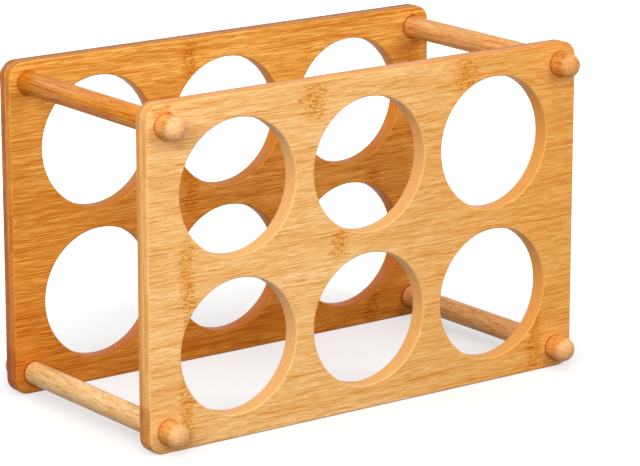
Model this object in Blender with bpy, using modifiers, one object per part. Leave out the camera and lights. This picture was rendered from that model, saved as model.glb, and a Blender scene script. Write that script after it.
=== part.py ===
"""A bamboo rack that stands on a table and holds six wine bottles lying down.

Two upright boards with three by two round holes stand one behind the other.
Four round rods hold them apart. At each end of each rod a domed knob with a
threaded stud goes through the board and screws into an insert in the rod.
X runs along the boards, Y from front to back and Z up. The origin is under the
middle of the rack, on the table. Left and right are as seen from the front.
"""

import math

import bmesh
import bpy

# Boards
BOARD_WIDTH = 0.330
BOARD_HEIGHT = 0.215
BOARD_THICKNESS = 0.0115
BOARD_CORNER_RADIUS = 0.010
BOARD_ARRIS = 0.0012

# Bottle holes, and the wood between two of them, which is also the least wood
# that a hole keeps to the edge of its board
BOTTLE_HOLE_DIAMETER = 0.085
BOTTLE_HOLE_WEB = 0.014

# Rods between the boards
ROD_DIAMETER = 0.0145
ROD_LENGTH = 0.140
ROD_END_ARRIS = 0.0006
ROD_AXIS_FROM_SIDE = 0.0135
ROD_AXIS_FROM_TOP_AND_BOTTOM = 0.0135

# Knobs on the outer faces of the boards
KNOB_DIAMETER = 0.015
KNOB_LENGTH = 0.0152
KNOB_DOME_HEIGHT = 0.006
KNOB_BASE_ARRIS = 0.0005
KNOB_WOOD_OVER_BORE = 0.0062
KNOB_DOME_ROUNDNESS = 2.1

# Threaded studs, fixed in the knobs
STUD_DIAMETER = 0.006
STUD_CHAMFER = 0.0006

# Threaded inserts in the rod ends
INSERT_WALL = 0.0008
INSERT_BARB_HEIGHT = 0.0005
INSERT_BARB_COUNT = 2
INSERT_LENGTH = 0.0125
INSERT_LIP = 0.0015

# Clearances
SEAT_GAP = 0.0003
FIT_GAP = 0.0003
STUD_HOLE_CLEARANCE = 0.0005
STUD_END_CLEARANCE = 0.0011
INSERT_RECESS = 0.0003

# Smoothness of the round shapes, as steps round a full circle
BOTTLE_HOLE_STEPS = 44
BOARD_CORNER_STEPS = 28
STUD_HOLE_STEPS = 12
ROD_STEPS = 22
KNOB_STEPS = 22
METAL_STEPS = 12
DOME_STEPS = 6

# Points closer than this are one point
WELD_DISTANCE = 0.00001
# Edges that turn more than this stay crisp
SMOOTH_ANGLE = math.radians(35)
QUARTER_TURN = math.pi / 2

# Sizes and places worked out from the sizes above
BOTTLE_HOLE_SPACING = BOTTLE_HOLE_DIAMETER + BOTTLE_HOLE_WEB
BOARD_CENTRE_Y = ROD_LENGTH / 2 + SEAT_GAP + BOARD_THICKNESS / 2
BOARD_OUTER_Y = BOARD_CENTRE_Y + BOARD_THICKNESS / 2
KNOB_BASE_Y = BOARD_OUTER_Y + SEAT_GAP
ROD_X = BOARD_WIDTH / 2 - ROD_AXIS_FROM_SIDE
ROD_LOW_Z = ROD_AXIS_FROM_TOP_AND_BOTTOM
ROD_HIGH_Z = BOARD_HEIGHT - ROD_AXIS_FROM_TOP_AND_BOTTOM
KNOB_BORE_RADIUS = STUD_DIAMETER / 2 + FIT_GAP
KNOB_BORE_DEPTH = KNOB_LENGTH - KNOB_WOOD_OVER_BORE
INSERT_BORE_RADIUS = STUD_DIAMETER / 2 + FIT_GAP
INSERT_ROOT_RADIUS = INSERT_BORE_RADIUS + INSERT_WALL
INSERT_OUTER_RADIUS = INSERT_ROOT_RADIUS + INSERT_BARB_HEIGHT
INSERT_OUTER_END_Y = ROD_LENGTH / 2 - INSERT_RECESS
ROD_BORE_RADIUS = INSERT_OUTER_RADIUS + FIT_GAP
ROD_BORE_DEPTH = INSERT_RECESS + INSERT_LENGTH + FIT_GAP
STUD_DEPTH_IN_KNOB = KNOB_BORE_DEPTH - FIT_GAP
STUD_DEPTH_IN_ROD = ROD_BORE_DEPTH - STUD_END_CLEARANCE
STUD_LENGTH = (STUD_DEPTH_IN_KNOB + SEAT_GAP + BOARD_THICKNESS + SEAT_GAP
               + STUD_DEPTH_IN_ROD)
STUD_OUTER_END_Y = KNOB_BASE_Y + STUD_DEPTH_IN_KNOB
STUD_HOLE_RADIUS = STUD_DIAMETER / 2 + STUD_HOLE_CLEARANCE

# Colours as the photograph shows them: red, green, blue in linear light
BOARD_COLOURS = {
    "front": (0.74, 0.42, 0.17),
    "rear": (0.62, 0.29, 0.09),
}
ROD_COLOURS = {
    ("top", "left"): (0.55, 0.27, 0.10),
    ("top", "right"): (0.66, 0.33, 0.12),
    ("bottom", "left"): (0.76, 0.48, 0.23),
    ("bottom", "right"): (0.66, 0.33, 0.12),
}
KNOB_COLOUR = (0.70, 0.37, 0.15)
STEEL_COLOUR = (0.62, 0.62, 0.60)
INSERT_COLOUR = (0.57, 0.37, 0.11)
BAMBOO_ROUGHNESS = 0.45
STEEL_ROUGHNESS = 0.30
INSERT_ROUGHNESS = 0.40

# Signs of the places: left and right along X, top and bottom along Z,
# front and rear along Y
SIDES = {"left": -1, "right": 1}
LEVELS = {"top": ROD_HIGH_Z, "bottom": ROD_LOW_Z}
FACES = {"front": -1, "rear": 1}


def empty_scene():
    """Take away everything the file opened with."""
    for obj in list(bpy.data.objects):
        bpy.data.objects.remove(obj, do_unlink=True)


def new_collection(name):
    """Make a collection in the scene."""
    collection = bpy.data.collections.new(name)
    bpy.context.scene.collection.children.link(collection)
    return collection


def new_material(name, colour, roughness, metallic):
    """Make a plain Principled material."""
    material = bpy.data.materials.new(name)
    material.use_nodes = True
    shader = material.node_tree.nodes["Principled BSDF"]
    shader.inputs["Base Color"].default_value = (*colour, 1)
    shader.inputs["Roughness"].default_value = roughness
    shader.inputs["Metallic"].default_value = metallic
    return material


def finished_mesh(shaper, name):
    """Turn a shaping object into a welded, smooth mesh and take it away."""
    bpy.context.scene.collection.objects.link(shaper)
    graph = bpy.context.evaluated_depsgraph_get()
    mesh = bpy.data.meshes.new_from_object(shaper.evaluated_get(graph))
    mesh.name = name
    bpy.data.objects.remove(shaper, do_unlink=True)
    work = bmesh.new()
    work.from_mesh(mesh)
    bmesh.ops.remove_doubles(work, verts=work.verts, dist=WELD_DISTANCE)
    work.to_mesh(mesh)
    work.free()
    mesh.shade_smooth()
    mesh.set_sharp_from_angle(angle=SMOOTH_ANGLE)
    return mesh


def turned_mesh(name, profile, steps):
    """Turn a profile of (radius, height) points about Z, top axis point first."""
    mesh = bpy.data.meshes.new(name)
    points = [(radius, 0, height) for radius, height in profile]
    edges = [(i, i + 1) for i in range(len(points) - 1)]
    mesh.from_pydata(points, edges, [])
    shaper = bpy.data.objects.new(name, mesh)
    screw = shaper.modifiers.new("turn", "SCREW")
    screw.axis = "Z"
    screw.steps = steps
    screw.render_steps = steps
    screw.use_merge_vertices = True
    screw.merge_threshold = WELD_DISTANCE
    return finished_mesh(shaper, name)


def circle_points(x, y, radius, steps):
    """Points of a circle, anticlockwise."""
    turns = [math.tau * i / steps for i in range(steps)]
    return [(x + radius * math.cos(t), y + radius * math.sin(t)) for t in turns]


def rounded_rectangle_points(width, height, radius, steps):
    """Points of a rectangle about (0, height / 2) with round corners."""
    per_corner = steps // 4
    right, top = width / 2 - radius, height - radius
    corners = [(right, top), (-right, top), (-right, radius), (right, radius)]
    points = []
    for corner, (x, y) in enumerate(corners):
        for i in range(per_corner + 1):
            t = QUARTER_TURN * (corner + i / per_corner)
            points.append((x + radius * math.cos(t), y + radius * math.sin(t)))
    return points


def add_loop(curve, points):
    """Add one closed outline to a flat curve."""
    spline = curve.splines.new("POLY")
    spline.points.add(len(points) - 1)
    for point, (x, y) in zip(spline.points, points):
        point.co = (x, y, 0, 1)
    spline.use_cyclic_u = True


def spread_holes(board_length):
    """Places of the bottle holes that a board length has room for, from its middle."""
    count = int((board_length - BOTTLE_HOLE_WEB) / BOTTLE_HOLE_SPACING)
    return [(i - (count - 1) / 2) * BOTTLE_HOLE_SPACING for i in range(count)]


def bottle_hole_centres():
    """Centres of the bottle holes, as (x, z), row by row from the bottom."""
    return [(across, BOARD_HEIGHT / 2 + rise)
            for rise in spread_holes(BOARD_HEIGHT)
            for across in spread_holes(BOARD_WIDTH)]


def board_mesh():
    """A board lying in XY: round corners, bottle holes, stud holes, soft edges."""
    curve = bpy.data.curves.new("board_outline", "CURVE")
    curve.dimensions = "2D"
    curve.fill_mode = "BOTH"
    add_loop(curve, rounded_rectangle_points(
        BOARD_WIDTH, BOARD_HEIGHT, BOARD_CORNER_RADIUS, BOARD_CORNER_STEPS))
    for x, z in bottle_hole_centres():
        add_loop(curve, circle_points(
            x, z, BOTTLE_HOLE_DIAMETER / 2, BOTTLE_HOLE_STEPS))
    for side in SIDES.values():
        for z in LEVELS.values():
            add_loop(curve, circle_points(
                side * ROD_X, z, STUD_HOLE_RADIUS, STUD_HOLE_STEPS))
    # The edges are rounded inwards, so the outline keeps its size
    curve.extrude = BOARD_THICKNESS / 2 - BOARD_ARRIS
    curve.bevel_depth = BOARD_ARRIS
    curve.bevel_resolution = 1
    curve.offset = -BOARD_ARRIS
    return finished_mesh(bpy.data.objects.new("board_outline", curve), "board")


def rod_mesh():
    """A rod about Z, centred, with a blind bore for an insert in each end."""
    half = ROD_LENGTH / 2
    radius = ROD_DIAMETER / 2
    floor = half - ROD_BORE_DEPTH
    upper = [
        (0, floor),
        (ROD_BORE_RADIUS, floor),
        (ROD_BORE_RADIUS, half),
        (radius - ROD_END_ARRIS, half),
        (radius, half - ROD_END_ARRIS),
    ]
    lower = [(r, -z) for r, z in reversed(upper)]
    return turned_mesh("rod", upper + lower, ROD_STEPS)


def knob_mesh():
    """A knob standing on z = 0: a short cylinder, a dome, a bore from below."""
    radius = KNOB_DIAMETER / 2
    shoulder = KNOB_LENGTH - KNOB_DOME_HEIGHT
    profile = []
    for i in range(DOME_STEPS):
        t = QUARTER_TURN * i / DOME_STEPS
        profile.append((radius * math.sin(t) ** (2 / KNOB_DOME_ROUNDNESS),
                        shoulder + KNOB_DOME_HEIGHT
                        * math.cos(t) ** (2 / KNOB_DOME_ROUNDNESS)))
    profile += [
        (radius, shoulder),
        (radius, KNOB_BASE_ARRIS),
        (radius - KNOB_BASE_ARRIS, 0),
        (KNOB_BORE_RADIUS, 0),
        (KNOB_BORE_RADIUS, KNOB_BORE_DEPTH),
        (0, KNOB_BORE_DEPTH),
    ]
    return turned_mesh("knob", profile, KNOB_STEPS)


def stud_mesh():
    """A stud hanging down from z = 0, at the outer diameter of its thread."""
    radius = STUD_DIAMETER / 2
    profile = [
        (0, 0),
        (radius - STUD_CHAMFER, 0),
        (radius, -STUD_CHAMFER),
        (radius, STUD_CHAMFER - STUD_LENGTH),
        (radius - STUD_CHAMFER, -STUD_LENGTH),
        (0, -STUD_LENGTH),
    ]
    return turned_mesh("stud", profile, METAL_STEPS)


def insert_mesh():
    """A barbed sleeve hanging down from z = 0, open at both ends."""
    barb_pitch = (INSERT_LENGTH - INSERT_LIP) / (INSERT_BARB_COUNT + 1)
    profile = [
        (INSERT_OUTER_RADIUS, 0),
        (INSERT_OUTER_RADIUS, -INSERT_LIP),
        (INSERT_ROOT_RADIUS, -INSERT_LIP),
    ]
    # Each barb has its shoulder towards the mouth and tapers inwards
    for barb in range(INSERT_BARB_COUNT):
        shoulder = -INSERT_LIP - (barb + 1) * barb_pitch
        profile.append((INSERT_ROOT_RADIUS, shoulder))
        profile.append((INSERT_OUTER_RADIUS, shoulder))
    profile += [
        (INSERT_ROOT_RADIUS, -INSERT_LENGTH),
        (INSERT_BORE_RADIUS, -INSERT_LENGTH),
        (INSERT_BORE_RADIUS, 0),
        (INSERT_OUTER_RADIUS, 0),
    ]
    return turned_mesh("insert", profile, METAL_STEPS)


def place(collection, parent, name, mesh, material, location, turn):
    """Put one piece in the rack, turned about X."""
    obj = bpy.data.objects.new(name, mesh)
    obj.parent = parent
    obj.location = location
    obj.rotation_euler = (turn, 0, 0)
    collection.objects.link(obj)
    if not mesh.materials:
        mesh.materials.append(None)
    obj.material_slots[0].link = "OBJECT"
    obj.material_slots[0].material = material
    return obj


def build():
    """Make every piece of the rack in its place."""
    empty_scene()
    rack = new_collection("bamboo_wine_rack")
    origin = bpy.data.objects.new("rack_origin", None)
    rack.objects.link(origin)

    board, rod, knob = board_mesh(), rod_mesh(), knob_mesh()
    stud, insert = stud_mesh(), insert_mesh()

    for face, sign in FACES.items():
        name = f"{face}_panel"
        bamboo = new_material(f"{name}_bamboo", BOARD_COLOURS[face],
                              BAMBOO_ROUGHNESS, 0)
        place(rack, origin, name, board, bamboo,
              (0, sign * BOARD_CENTRE_Y, 0), QUARTER_TURN)

    for level, z in LEVELS.items():
        for side, across in SIDES.items():
            corner = f"{level}_{side}"
            x = across * ROD_X
            bamboo = new_material(f"rod_{corner}_bamboo",
                                  ROD_COLOURS[(level, side)], BAMBOO_ROUGHNESS, 0)
            place(rack, origin, f"rod_{corner}", rod, bamboo, (x, 0, z),
                  QUARTER_TURN)
            for face, sign in FACES.items():
                place_fastener(rack, origin, f"{face}_{corner}", x, z, sign,
                               knob, stud, insert)


def place_fastener(rack, origin, where, x, z, sign, knob, stud, insert):
    """Put a knob, its stud and its insert at one end of a rod."""
    turn = -sign * QUARTER_TURN
    place(rack, origin, f"knob_{where}", knob,
          new_material(f"knob_{where}_bamboo", KNOB_COLOUR, BAMBOO_ROUGHNESS, 0),
          (x, sign * KNOB_BASE_Y, z), turn)
    place(rack, origin, f"stud_{where}", stud,
          new_material(f"stud_{where}_steel", STEEL_COLOUR, STEEL_ROUGHNESS, 1),
          (x, sign * STUD_OUTER_END_Y, z), turn)
    place(rack, origin, f"insert_{where}", insert,
          new_material(f"insert_{where}_brass", INSERT_COLOUR, INSERT_ROUGHNESS, 1),
          (x, sign * INSERT_OUTER_END_Y, z), turn)


build()
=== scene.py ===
# %% [markdown]
# # A bamboo wine rack
#
# Two upright bamboo boards with six round holes each stand one behind the other.
# Four round rods hold them apart, and a domed knob closes each end of each rod.
# This script dresses the rack with smooth shapes, and with bamboo that is worked
# out by rules: grain, glued strips, plies and knuckles.
#
# X runs along the boards, Y from front to back and Z up, all in metres.
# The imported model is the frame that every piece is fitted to, so it comes first.

# %% Load the frame and keep its size
import math
from functools import partialmethod
from types import SimpleNamespace

import bmesh
import bpy
from mathutils import Euler, Matrix, Vector


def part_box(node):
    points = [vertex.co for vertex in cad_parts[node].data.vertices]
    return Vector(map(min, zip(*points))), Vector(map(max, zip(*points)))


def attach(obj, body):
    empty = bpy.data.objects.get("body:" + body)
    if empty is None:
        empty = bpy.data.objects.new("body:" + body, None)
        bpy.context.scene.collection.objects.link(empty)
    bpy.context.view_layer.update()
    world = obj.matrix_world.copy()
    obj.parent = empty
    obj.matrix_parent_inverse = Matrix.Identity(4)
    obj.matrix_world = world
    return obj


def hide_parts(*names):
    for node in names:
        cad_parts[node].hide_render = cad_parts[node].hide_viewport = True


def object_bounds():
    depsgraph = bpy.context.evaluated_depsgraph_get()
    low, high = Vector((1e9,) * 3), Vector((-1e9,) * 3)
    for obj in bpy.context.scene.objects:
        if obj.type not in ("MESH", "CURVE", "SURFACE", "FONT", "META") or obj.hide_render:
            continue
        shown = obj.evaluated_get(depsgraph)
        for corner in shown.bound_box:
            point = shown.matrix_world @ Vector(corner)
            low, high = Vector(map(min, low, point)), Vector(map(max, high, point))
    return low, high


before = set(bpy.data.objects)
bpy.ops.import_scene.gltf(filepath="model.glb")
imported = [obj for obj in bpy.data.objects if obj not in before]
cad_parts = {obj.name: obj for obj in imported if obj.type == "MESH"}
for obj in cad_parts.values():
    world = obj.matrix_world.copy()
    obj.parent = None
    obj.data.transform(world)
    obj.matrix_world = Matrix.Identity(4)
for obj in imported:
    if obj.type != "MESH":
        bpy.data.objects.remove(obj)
cad_low, cad_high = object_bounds()

# %% [markdown]
# ## Sizes
#
# Places and outer sizes are read from the frame, so that each smooth piece lies
# where its solid does. Only what a box can't tell is written here: the holes, the
# rounding of edges and the clearances inside the joints.

# %% Read the boards, rods, knobs, studs and inserts
BOTTLE_HOLE_DIAMETER = 0.085
BOTTLE_HOLE_SPACING = 0.099
BOARD_CORNER_RADIUS = 0.01
BOARD_ARRIS = 0.0012
STUD_HOLE_CLEARANCE = 0.0005
FIT_GAP = 0.0003
ROD_END_ARRIS = 0.0006
KNOB_BASE_ARRIS = 0.0005
KNOB_DOME_HEIGHT = 0.006
KNOB_DOME_ROUNDNESS = 2.1
WELD_DISTANCE = 0.00001
QUARTER = math.pi / 2

CORNERS = [f"{level}_{side}" for level in ("top", "bottom") for side in ("left", "right")]


def box_size(node):
    """Lengths of a node's box along X, Y and Z."""
    low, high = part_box(node)
    return high - low


def box_middle(node):
    """Middle of a node's box."""
    low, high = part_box(node)
    return (low + high) / 2


BOARD_WIDTH, BOARD_THICKNESS, BOARD_HEIGHT = box_size("front_panel")
ROD_DIAMETER, ROD_LENGTH = box_size("rod_top_left").xy
KNOB_DIAMETER, KNOB_LENGTH = box_size("knob_front_top_left").xy
STUD_DIAMETER = box_size("stud_front_top_left").z
INSERT_DIAMETER = box_size("insert_front_top_left").z
KNOB_SHOULDER = KNOB_LENGTH - KNOB_DOME_HEIGHT
CORNER_GAP = box_middle("rod_top_right") - box_middle("rod_bottom_left")
print(f"board {BOARD_WIDTH:.4f} x {BOARD_THICKNESS:.4f} x {BOARD_HEIGHT:.4f}, "
      f"rod {ROD_DIAMETER:.4f} x {ROD_LENGTH:.4f}, "
      f"knob {KNOB_DIAMETER:.4f} x {KNOB_LENGTH:.4f}")

# %% [markdown]
# ## Wiring node trees from Python
#
# Shader groups and Geometry Nodes trees are both made of nodes and links, so one
# helper serves them all. It adds a node, sets its fields, and feeds each input with
# a value or another node's output, which is easier to follow than screens full of
# links. Colours are written as three parts, and the helper adds the fourth, 1.
#
# A group is built once and placed many times, and its named inputs take other
# values at each place. An input is told by its kind of socket or by a default.


# %% Helpers that add and feed nodes, and make a group
class Wiring:
    """Adds nodes to a tree and feeds their inputs with values or other outputs."""

    def __init__(self, tree):
        self.tree = tree

    def feed(self, socket, value):
        if isinstance(value, bpy.types.NodeSocket):
            self.tree.links.new(value, socket)
        elif socket.type == "RGBA":
            socket.default_value = (*value, 1.0)
        else:
            socket.default_value = value

    def feed_all(self, sockets, values):
        for name, value in values.items():
            self.feed(sockets[name], value)

    def node(self, kind, feeds=(), **fields):
        """Add a node, set its fields and feed its inputs."""
        node = self.tree.nodes.new(kind)
        for field, value in fields.items():
            setattr(node, field, value)
        self.feed_all(node.inputs, dict(feeds))
        return node

    def add(self, kind, feeds=(), **fields):
        """Add a node and give its first output."""
        return self.node(kind, feeds, **fields).outputs[0]

    def math(self, operation, first, *others):
        """Work on one value, or on several from left to right."""
        if not others:
            return self.add("ShaderNodeMath", {0: first}, operation=operation)
        for other in others:
            first = self.add("ShaderNodeMath", {0: first, 1: other}, operation=operation)
        return first

    plus = partialmethod(math, "ADD")
    minus = partialmethod(math, "SUBTRACT")
    times = partialmethod(math, "MULTIPLY")
    over = partialmethod(math, "DIVIDE")
    absolute = partialmethod(math, "ABSOLUTE")

    def most(self, first, *others):
        """The largest of several masks."""
        return self.math("MAXIMUM", first, *others) if others else first

    def vector(self, x, y, z):
        return self.add("ShaderNodeCombineXYZ", {"X": x, "Y": y, "Z": z})

    def parts(self, vector):
        return self.node("ShaderNodeSeparateXYZ", {"Vector": vector}).outputs

    def length(self, vector):
        return self.node("ShaderNodeVectorMath", {0: vector},
                         operation="LENGTH").outputs["Value"]

    def stretched(self, vector, x, y, z):
        """A vector with each part multiplied by its own number."""
        return self.add("ShaderNodeVectorMath", {0: vector, 1: (x, y, z)},
                        operation="MULTIPLY")

    def ramp(self, value, low, high, to_low=0.0, to_high=1.0, kind="LINEAR"):
        """Carry a value from one range to another, held at both ends."""
        return self.add("ShaderNodeMapRange", {
            "Value": value, "From Min": low, "From Max": high,
            "To Min": to_low, "To Max": to_high}, interpolation_type=kind)

    ease = partialmethod(ramp, kind="SMOOTHSTEP")

    def noise(self, vector, detail=2.0, roughness=0.5, distortion=0.0):
        return self.add("ShaderNodeTexNoise", {
            "Vector": vector, "Scale": 1.0, "Detail": detail,
            "Roughness": roughness, "Distortion": distortion})

    def chance(self, first, second):
        """A random number from 0 to 1 for each pair of numbers."""
        return self.add("ShaderNodeTexWhiteNoise",
                        {"Vector": self.vector(first, second, 0.0)}, noise_dimensions="2D")

    def blend(self, share, first, second, mode="MIX"):
        """Mix two colours by a share from 0 to 1."""
        return self.node("ShaderNodeMix", {0: share, 6: first, 7: second},
                         data_type="RGBA", blend_type=mode).outputs[2]

    def stain(self, colour, tint, share=1.0):
        """Multiply a colour by a tint, or by a share of it."""
        return self.blend(share, colour, tint, "MULTIPLY")

    def choose(self, share, first, second):
        """Mix two numbers by a share from 0 to 1."""
        return self.add("ShaderNodeMix", {0: share, 2: first, 3: second},
                        data_type="FLOAT")

    def coordinate(self, kind):
        return self.node("ShaderNodeTexCoord").outputs[kind]

    def attribute(self, name, output):
        return self.node("ShaderNodeAttribute", attribute_name=name).outputs[output]

    def bump(self, height, distance):
        return self.add("ShaderNodeBump", {"Height": height, "Distance": distance})

    def group(self, tree, feeds):
        """Place a shared shader group and give its outputs."""
        return self.node("ShaderNodeGroup", feeds, node_tree=tree).outputs

    def shape(self, kind, feeds=(), **fields):
        """Add a Geometry Nodes node and give its first output."""
        return self.add(f"GeometryNode{kind}", feeds, **fields)

    def join(self, *shapes):
        node = self.node("GeometryNodeJoinGeometry")
        for shape in shapes:
            self.feed(node.inputs[0], shape)
        return node.outputs[0]

    def deliver(self, end, shape, material):
        """End a tree: make its instances real and give them their material."""
        real = self.shape("RealizeInstances", {"Geometry": shape})
        self.feed(end, self.shape("SetMaterial", {"Geometry": real, "Material": material}))


SOCKET_OF_DEFAULT = {float: "Float", int: "Int", tuple: "Color"}


def new_group(name, inputs, outputs, kind="ShaderNodeTree"):
    """Make a node group, and give its tree, its wiring and both its ends."""
    tree = bpy.data.node_groups.new(name, kind)
    for way, sockets in (("INPUT", inputs), ("OUTPUT", outputs)):
        for label, told in sockets.items():
            default = not isinstance(told, str)
            socket_kind = SOCKET_OF_DEFAULT[type(told)] if default else told
            socket = tree.interface.new_socket(label, in_out=way,
                                               socket_type=f"NodeSocket{socket_kind}")
            if default:
                socket.default_value = (*told, 1.0) if socket_kind == "Color" else told
    w = Wiring(tree)
    return tree, w, w.node("NodeGroupInput").outputs, w.node("NodeGroupOutput").inputs


print("helpers for nodes ready")

# %% [markdown]
# ## Bamboo grain
#
# Bamboo has no year rings. Its wood is a bundle of straight fibres. Planed, it
# shows broad pale and tan streaks, long thin dark lines where the sap vessels are
# cut open, and hair-fine fibres. The lines wander a little where the stem was bent.
#
# A noise that is stretched along the fibres gives each of these at its own pitch.
# Only its peaks become lines, so they stay thin and swell and fade as vessels do.
# Two weak waves are added to the height first, so that all lines wander together.
# The fibres run along X here, and each material turns its piece to fit.

# %% Grain group: streaks, vessel lines and fibres
SHORT_WAVE_SHARE = 0.22
CROWDING = 0.18
FEWEST_LINES_LEVEL, LEVEL_DROP = 0.68, 0.22
SHORT_LINE_STRENGTH = 0.6


def make_grain_group():
    """Streaks, dark vessel lines and fibres that run along X and wander in Z."""
    tree, w, start, end = new_group("bamboo_grain", {
        "Place": "Vector", "Wander": 0.0008, "Wander Length": 0.04, "Streak Pitch": 0.0045,
        "Line Pitch": 0.0013, "Line Length": 0.03, "Line Share": 0.5,
    }, {"Streaks": "Float", "Lines": "Float", "Fibres": "Float"})
    x, y, z = w.parts(start["Place"])

    def wave(length, flatness):
        """A slow wave between -1 and 1, longer along X than across it."""
        place = w.vector(w.over(x, length), w.over(y, length),
                         w.over(z, w.times(length, flatness)))
        return w.ramp(w.noise(place, 1.0, 0.5), 0.2, 0.8, -1.0, 1.0)

    long_wave = wave(start["Wander Length"], 0.5)
    short_wave = wave(w.times(start["Wander Length"], 0.2), 0.4)
    lift = w.times(start["Wander"],
                   w.plus(long_wave, w.times(short_wave, SHORT_WAVE_SHARE)))
    bent = w.plus(z, lift)

    def squeezed(length_share, pitch):
        return w.vector(w.over(x, w.times(start["Line Length"], length_share)),
                        w.over(y, pitch), w.over(bent, pitch))

    pitch = start["Line Pitch"]
    streaks = w.noise(squeezed(2.0, start["Streak Pitch"]), 3.0, 0.6)
    # More lines show in the dark streaks than in the pale ones
    crowd = w.times(w.minus(0.5, streaks), CROWDING)
    level = w.minus(FEWEST_LINES_LEVEL, w.times(start["Line Share"], LEVEL_DROP))

    def peaks(length_share, pitch_share, rise):
        field = w.noise(squeezed(length_share, w.times(pitch, pitch_share)), 1.0, 0.4)
        return w.ease(w.plus(field, crowd), level, w.plus(level, rise))

    long_lines = peaks(1.0, 1.0, 0.09)
    short_lines = w.times(peaks(0.4, 0.6, 0.12), SHORT_LINE_STRENGTH)
    fibres = w.noise(squeezed(0.25, w.times(pitch, 0.9)), 1.0, 0.5)
    w.feed_all(end, {"Streaks": w.ramp(streaks, 0.3, 0.7),
                     "Lines": w.most(long_lines, short_lines),
                     "Fibres": w.ramp(fibres, 0.25, 0.75)})
    return tree


GRAIN = make_grain_group()
print("group:", GRAIN.name)

# %% [markdown]
# ## Glued strips
#
# A bamboo stem is hollow, so it is split into strips, which are planed square and
# glued side by side. Each strip has its own tone, and the glue shows as a thin
# darker line. The strip's number, from the height divided by the strip's width,
# goes into a White Noise node, so the tone doesn't change along the strip.

# %% Strip group: one tone for each strip, and the line between strips
GLUE_STRETCH = 0.035


def make_strip_group():
    """A random tone for each strip across Z, and a mask of the glue lines."""
    tree, w, start, end = new_group("glued_strips", {
        "Place": "Vector", "Strip Width": 0.02, "Glue Width": 0.0004, "Batch": 0.0,
    }, {"Tone": "Float", "Glue Line": "Float"})
    x, _, z = w.parts(start["Place"])
    turn = w.plus(w.over(z, start["Strip Width"]), start["Batch"])
    number = w.math("FLOOR", turn)
    share = w.math("FRACT", turn)
    to_seam = w.times(w.math("MINIMUM", share, w.minus(1.0, share)), start["Strip Width"])
    # The glue is seen only here and there along a seam
    stretch = w.noise(w.vector(w.over(x, GLUE_STRETCH), number, start["Batch"]))
    seen = w.ease(stretch, 0.46, 0.6, 0.12, 1.0)
    line = w.ease(to_seam, 0.0, start["Glue Width"], 1.0, 0.0)
    w.feed_all(end, {"Tone": w.chance(number, start["Batch"]),
                     "Glue Line": w.times(line, seen)})
    return tree


STRIPS = make_strip_group()
print("group:", STRIPS.name)

# %% [markdown]
# ## Knuckles
#
# Every 20 to 30 cm the stem has a joint, where the fibres tangle. On a planed
# board it shows as a narrow band of orange curls, staggered from strip to strip.
# One group says where a band is, and a second one draws the curls, so that all
# bands of a board share one texture.

# %% Knuckle groups: where the band is, and its curls
BAND_FADE = 0.005
BAND_FRAY = 2.6


def make_knuckle_group():
    """A mask of one knuckle band across the strips between two heights."""
    tree, w, start, end = new_group("knuckle_band", {
        "Place": "Vector", "Middle": 0.0, "Bottom": 0.0, "Top": 0.1,
        "Half Width": 0.006, "Strip Width": 0.02, "Stagger": 0.004,
    }, {"Band": "Float"})
    x, _, z = w.parts(start["Place"])
    half_width, bottom, top = start["Half Width"], start["Bottom"], start["Top"]
    number = w.math("FLOOR", w.over(z, start["Strip Width"]))
    shift = w.times(w.minus(w.chance(number, start["Middle"]), 0.5), start["Stagger"])
    frayed = w.noise(w.stretched(start["Place"], 300.0, 300.0, 900.0), 2.0, 0.6)
    frayed = w.times(w.minus(frayed, 0.5), w.times(half_width, BAND_FRAY))
    away = w.minus(w.minus(x, start["Middle"]), shift)
    away = w.absolute(w.plus(away, frayed))
    inside = w.ease(away, w.times(half_width, 0.4), w.times(half_width, 1.1), 1.0, 0.0)
    rising = w.ease(z, bottom, w.plus(bottom, BAND_FADE))
    falling = w.ease(z, w.minus(top, BAND_FADE), top, 1.0, 0.0)
    w.feed(end["Band"], w.times(inside, w.times(rising, falling)))
    return tree


def make_curl_group():
    """Short bent strokes, the peaks of a distorted noise."""
    tree, w, start, end = new_group("knuckle_curls", {
        "Place": "Vector", "Curl Pitch": 0.0011}, {"Curls": "Float"})
    x, y, z = w.parts(start["Place"])
    pitch = start["Curl Pitch"]
    squeezed = w.vector(w.over(x, w.times(pitch, 2.4)), w.over(y, pitch), w.over(z, pitch))
    w.feed(end["Curls"], w.ease(w.noise(squeezed, 1.0, 0.5, 0.9), 0.5, 0.62))
    return tree


KNUCKLE = make_knuckle_group()
CURLS = make_curl_group()
print("groups:", KNUCKLE.name, CURLS.name)

# %% [markdown]
# ## From masks to a lacquered surface
#
# The masks meet in one group, which turns them into colour, roughness and height.
# Each mark stains the wood, so its colour is multiplied by a tint, the same for
# every piece. Cut vessels and glue lines are hair-thin grooves, and they take the
# gloss less well. Across the cut ends of the fibres the wood drinks more lacquer
# and looks deeper, and along the sanded edges it is paler, partly from wear and
# partly as a painted highlight. Every bamboo material places this group with its
# own pale and dark tone.

# %% Finish group: colour, roughness and height
STAINS = {
    "Lines": (0.83, 0.6, 0.27), "Glue Line": (0.7, 0.5, 0.32),
    "Band": (0.95, 0.84, 0.59), "Curls": (0.74, 0.51, 0.26),
    "End Grain": (0.98, 0.89, 0.77),
}
PALE_STRIP, DEEP_STRIP = (1.02, 1.03, 1.06), (0.98, 0.95, 0.86)
DEEP_FIBRE, PALE_FIBRE = (0.9, 0.745, 0.47), (1.1, 1.17, 1.34)
LINE_LOST_ACROSS = 0.7
# Share of the pale tone on rounded edges: sanded wear and a painted highlight
WORN_PALE_AND_HIGHLIGHT = 0.2
LINE_GROOVE, CURL_GROOVE = 0.6, 0.4
STREAK_RISE, FIBRE_RISE = 0.4, 0.35
STREAK_SHEEN, GROOVE_DULLNESS, CURL_DULLNESS = 0.04, 0.1, 0.08


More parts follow.
